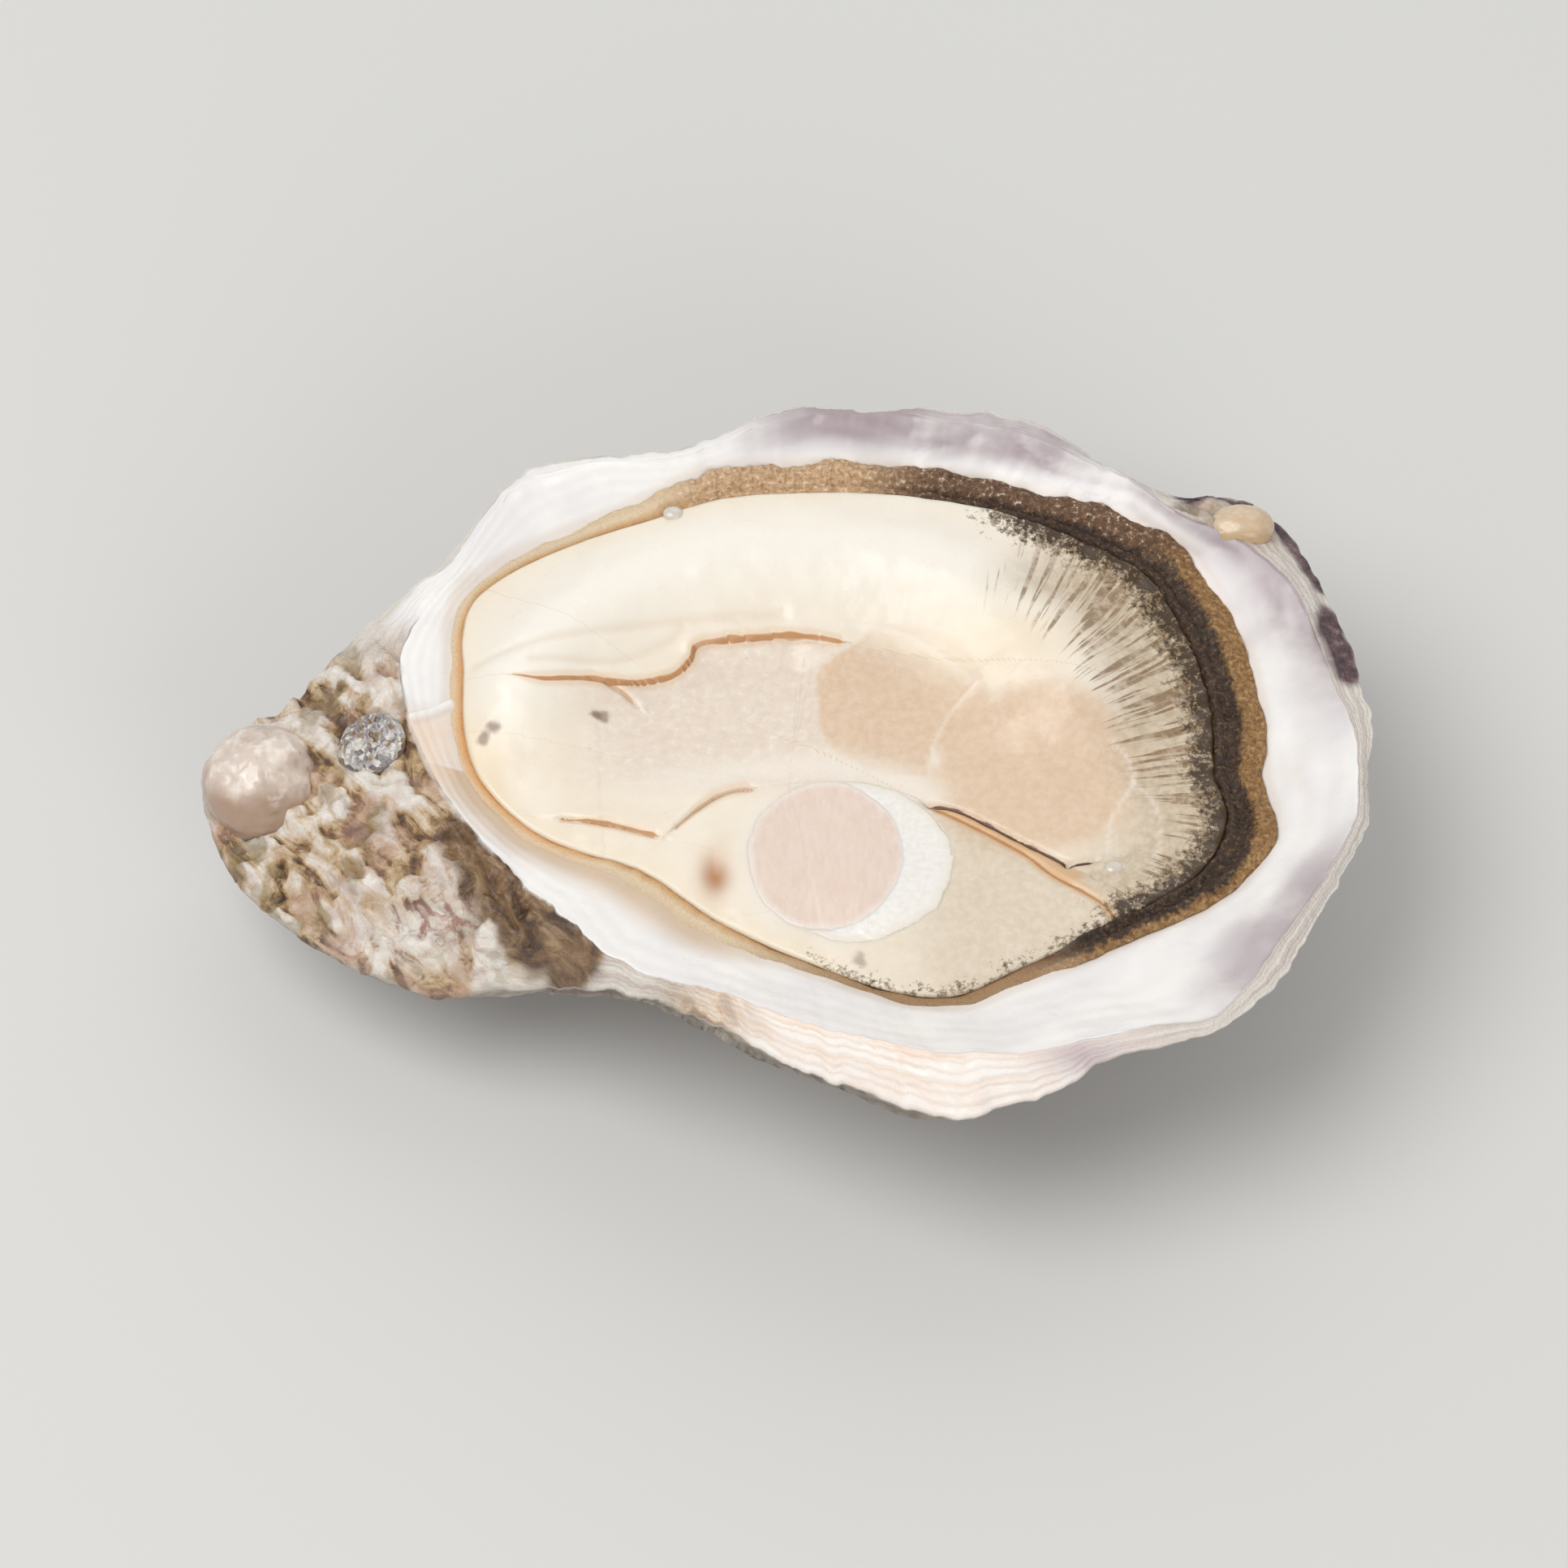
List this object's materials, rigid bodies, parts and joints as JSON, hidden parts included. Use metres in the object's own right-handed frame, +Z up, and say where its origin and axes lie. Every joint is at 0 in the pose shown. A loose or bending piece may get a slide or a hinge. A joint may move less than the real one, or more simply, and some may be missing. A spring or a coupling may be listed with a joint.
{
  "type": "oyster on the half shell",
  "caption": "Opened cupped oyster in its lower shell: rough layered outside, smooth nacre rim, dark-edged mantle and a cut round muscle.",
  "frame": {"origin": "on the table under the middle of the shell's box", "axes": "+X along the length, from the hinge to the bill; +Z up, out of the open cup; +Y from the side nearer the muscle to the far side"},
  "size_m": [0.0998, 0.069, 0.0252],
  "materials": {
    "shell": "smooth nacre inside, rough chalky layers outside",
    "mantle": "soft and wet",
    "fringe": "soft, wet and ruffled",
    "pink_muscle": "soft and wet",
    "white_muscle": "soft and wet",
    "ligament": "glossy and granular"
  },
  "bodies": {
    "root": {"shell": "shell", "mantle": "mantle", "mantle_fringe": "fringe", "adductor_muscle": "pink_muscle", "catch_muscle": "white_muscle", "ligament": "ligament"}
  },
  "joints": []
}
